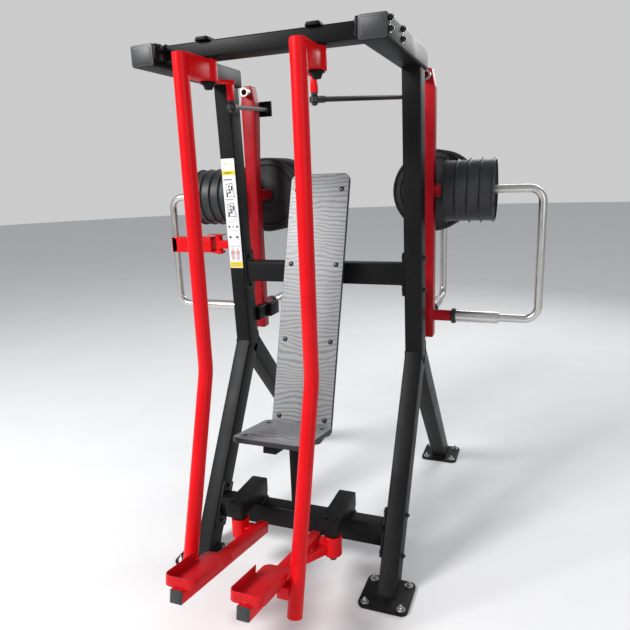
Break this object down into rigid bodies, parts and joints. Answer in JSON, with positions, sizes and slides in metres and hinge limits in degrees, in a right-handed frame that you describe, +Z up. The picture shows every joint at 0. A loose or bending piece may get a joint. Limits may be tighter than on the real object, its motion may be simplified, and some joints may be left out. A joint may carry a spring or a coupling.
{
  "type": "seated gate press machine",
  "caption": "Outdoor seated gym machine: side frames carry hand and foot levers on upright hinges that swing weight arms with captive discs.",
  "frame": {"origin": "on the ground under the middle of the machine's bounding box", "axes": "+X to the image's right when the machine is seen from the front, +Y from the front to the rear, +Z up"},
  "size_m": [2.007, 2.146, 2.262],
  "materials": {
    "black_paint": "semi-gloss powder coat",
    "red_paint": "gloss powder coat",
    "dark_red_paint": "gloss powder coat",
    "stainless_steel": "brushed",
    "black_rubber": "matt",
    "disc_rubber": "matt moulded rubber",
    "laminate_board": "grey wood-grain compact laminate",
    "zinc_plate": "zinc plated",
    "black_steel": "blackened",
    "black_plastic": "fine texture",
    "sign_plate": "printed plate"
  },
  "bodies": {
    "frame": {"side_frame_left": "black_paint", "side_frame_right": "black_paint", "side_beam_left": "black_paint", "side_beam_right": "black_paint", "beam_caps": "black_plastic", "front_crossbeam": "black_paint", "mid_crossbeam": "black_paint", "lower_crossbeam": "black_paint", "frame_bolts": "black_steel", "floor_anchors": "zinc_plate", "upper_pivot_left": "black_paint", "upper_pivot_right": "black_paint", "lower_pivot_left": "black_paint", "lower_pivot_right": "black_paint", "arm_bearing_left": "black_paint", "arm_bearing_right": "black_paint", "seat_frame": "black_paint", "backrest_board": "laminate_board", "seat_board": "laminate_board", "board_bolts": "black_steel", "sign_plate": "sign_plate"},
    "gate_right": {"lever_right": "red_paint", "upper_bracket_right": "red_paint", "crank_pin_right": "black_steel", "foot_arm_right": "red_paint", "foot_tray_right": "red_paint", "foot_cap_right": "black_plastic", "link_bolts_right": "zinc_plate"},
    "rod_right": {"pull_rod_right": "black_steel"},
    "weights_right": {"weight_arm_right": "dark_red_paint", "stop_tube_right": "stainless_steel", "side_loop_right": "stainless_steel", "rear_loop_right": "stainless_steel", "loop_rings_right": "black_rubber"},
    "side_stack_right": {"side_discs_right": "disc_rubber"},
    "rear_stack_right": {"rear_discs_right": "disc_rubber"},
    "gate_left": {"lever_left": "red_paint", "upper_bracket_left": "red_paint", "crank_pin_left": "black_steel", "foot_arm_left": "red_paint", "foot_tray_left": "red_paint", "foot_cap_left": "black_plastic", "link_bolts_left": "zinc_plate"},
    "rod_left": {"pull_rod_left": "black_steel"},
    "weights_left": {"weight_arm_left": "dark_red_paint", "stop_tube_left": "stainless_steel", "side_loop_left": "stainless_steel", "rear_loop_left": "stainless_steel", "loop_rings_left": "black_rubber", "loop_brace_left": "red_paint"},
    "side_stack_left": {"side_discs_left": "disc_rubber"},
    "rear_stack_left": {"rear_discs_left": "disc_rubber"}
  },
  "joints": [
    {"name": "weights_right_swing", "type": "hinge", "parent": "frame", "child": "weights_right", "pos_m": [0.46, 0.386, 1.045], "axis": [1, 0, 0], "range_deg": [0, 4]},
    {"name": "gate_right_turn", "type": "hinge", "parent": "frame", "child": "gate_right", "pos_m": [0.22, -0.434, 1.1], "axis": [0, 0, 1], "range_deg": [0, 45]},
    {"name": "rod_right_turn", "type": "hinge", "parent": "gate_right", "child": "rod_right", "pos_m": [0.175, -0.346, 2.022], "axis": [0, 0, 1], "range_deg": [-48.5, 0]},
    {"name": "side_stack_right_slide", "type": "slide", "parent": "weights_right", "child": "side_stack_right", "axis": [1, 0, 0], "range_m": [0, 0.14]},
    {"name": "rear_stack_right_slide", "type": "slide", "parent": "weights_right", "child": "rear_stack_right", "axis": [0, 1, 0], "range_m": [0, 0.06]},
    {"name": "weights_left_swing", "type": "hinge", "parent": "frame", "child": "weights_left", "pos_m": [-0.46, 0.386, 1.045], "axis": [1, 0, 0], "range_deg": [0, 4]},
    {"name": "gate_left_turn", "type": "hinge", "parent": "frame", "child": "gate_left", "pos_m": [-0.22, -0.434, 1.1], "axis": [0, 0, -1], "range_deg": [0, 45]},
    {"name": "rod_left_turn", "type": "hinge", "parent": "gate_left", "child": "rod_left", "pos_m": [-0.175, -0.346, 2.022], "axis": [0, 0, -1], "range_deg": [-48.5, 0]},
    {"name": "side_stack_left_slide", "type": "slide", "parent": "weights_left", "child": "side_stack_left", "axis": [-1, 0, 0], "range_m": [0, 0.14]},
    {"name": "rear_stack_left_slide", "type": "slide", "parent": "weights_left", "child": "rear_stack_left", "axis": [0, 1, 0], "range_m": [0, 0.06]}
  ],
  "couplings": [
    {"joint": "gate_right_turn", "follows": "weights_right_swing", "ratio": 11.2},
    {"joint": "rod_right_turn", "follows": "weights_right_swing", "ratio": -12.12},
    {"joint": "gate_left_turn", "follows": "weights_left_swing", "ratio": 11.2},
    {"joint": "rod_left_turn", "follows": "weights_left_swing", "ratio": -12.12}
  ]
}
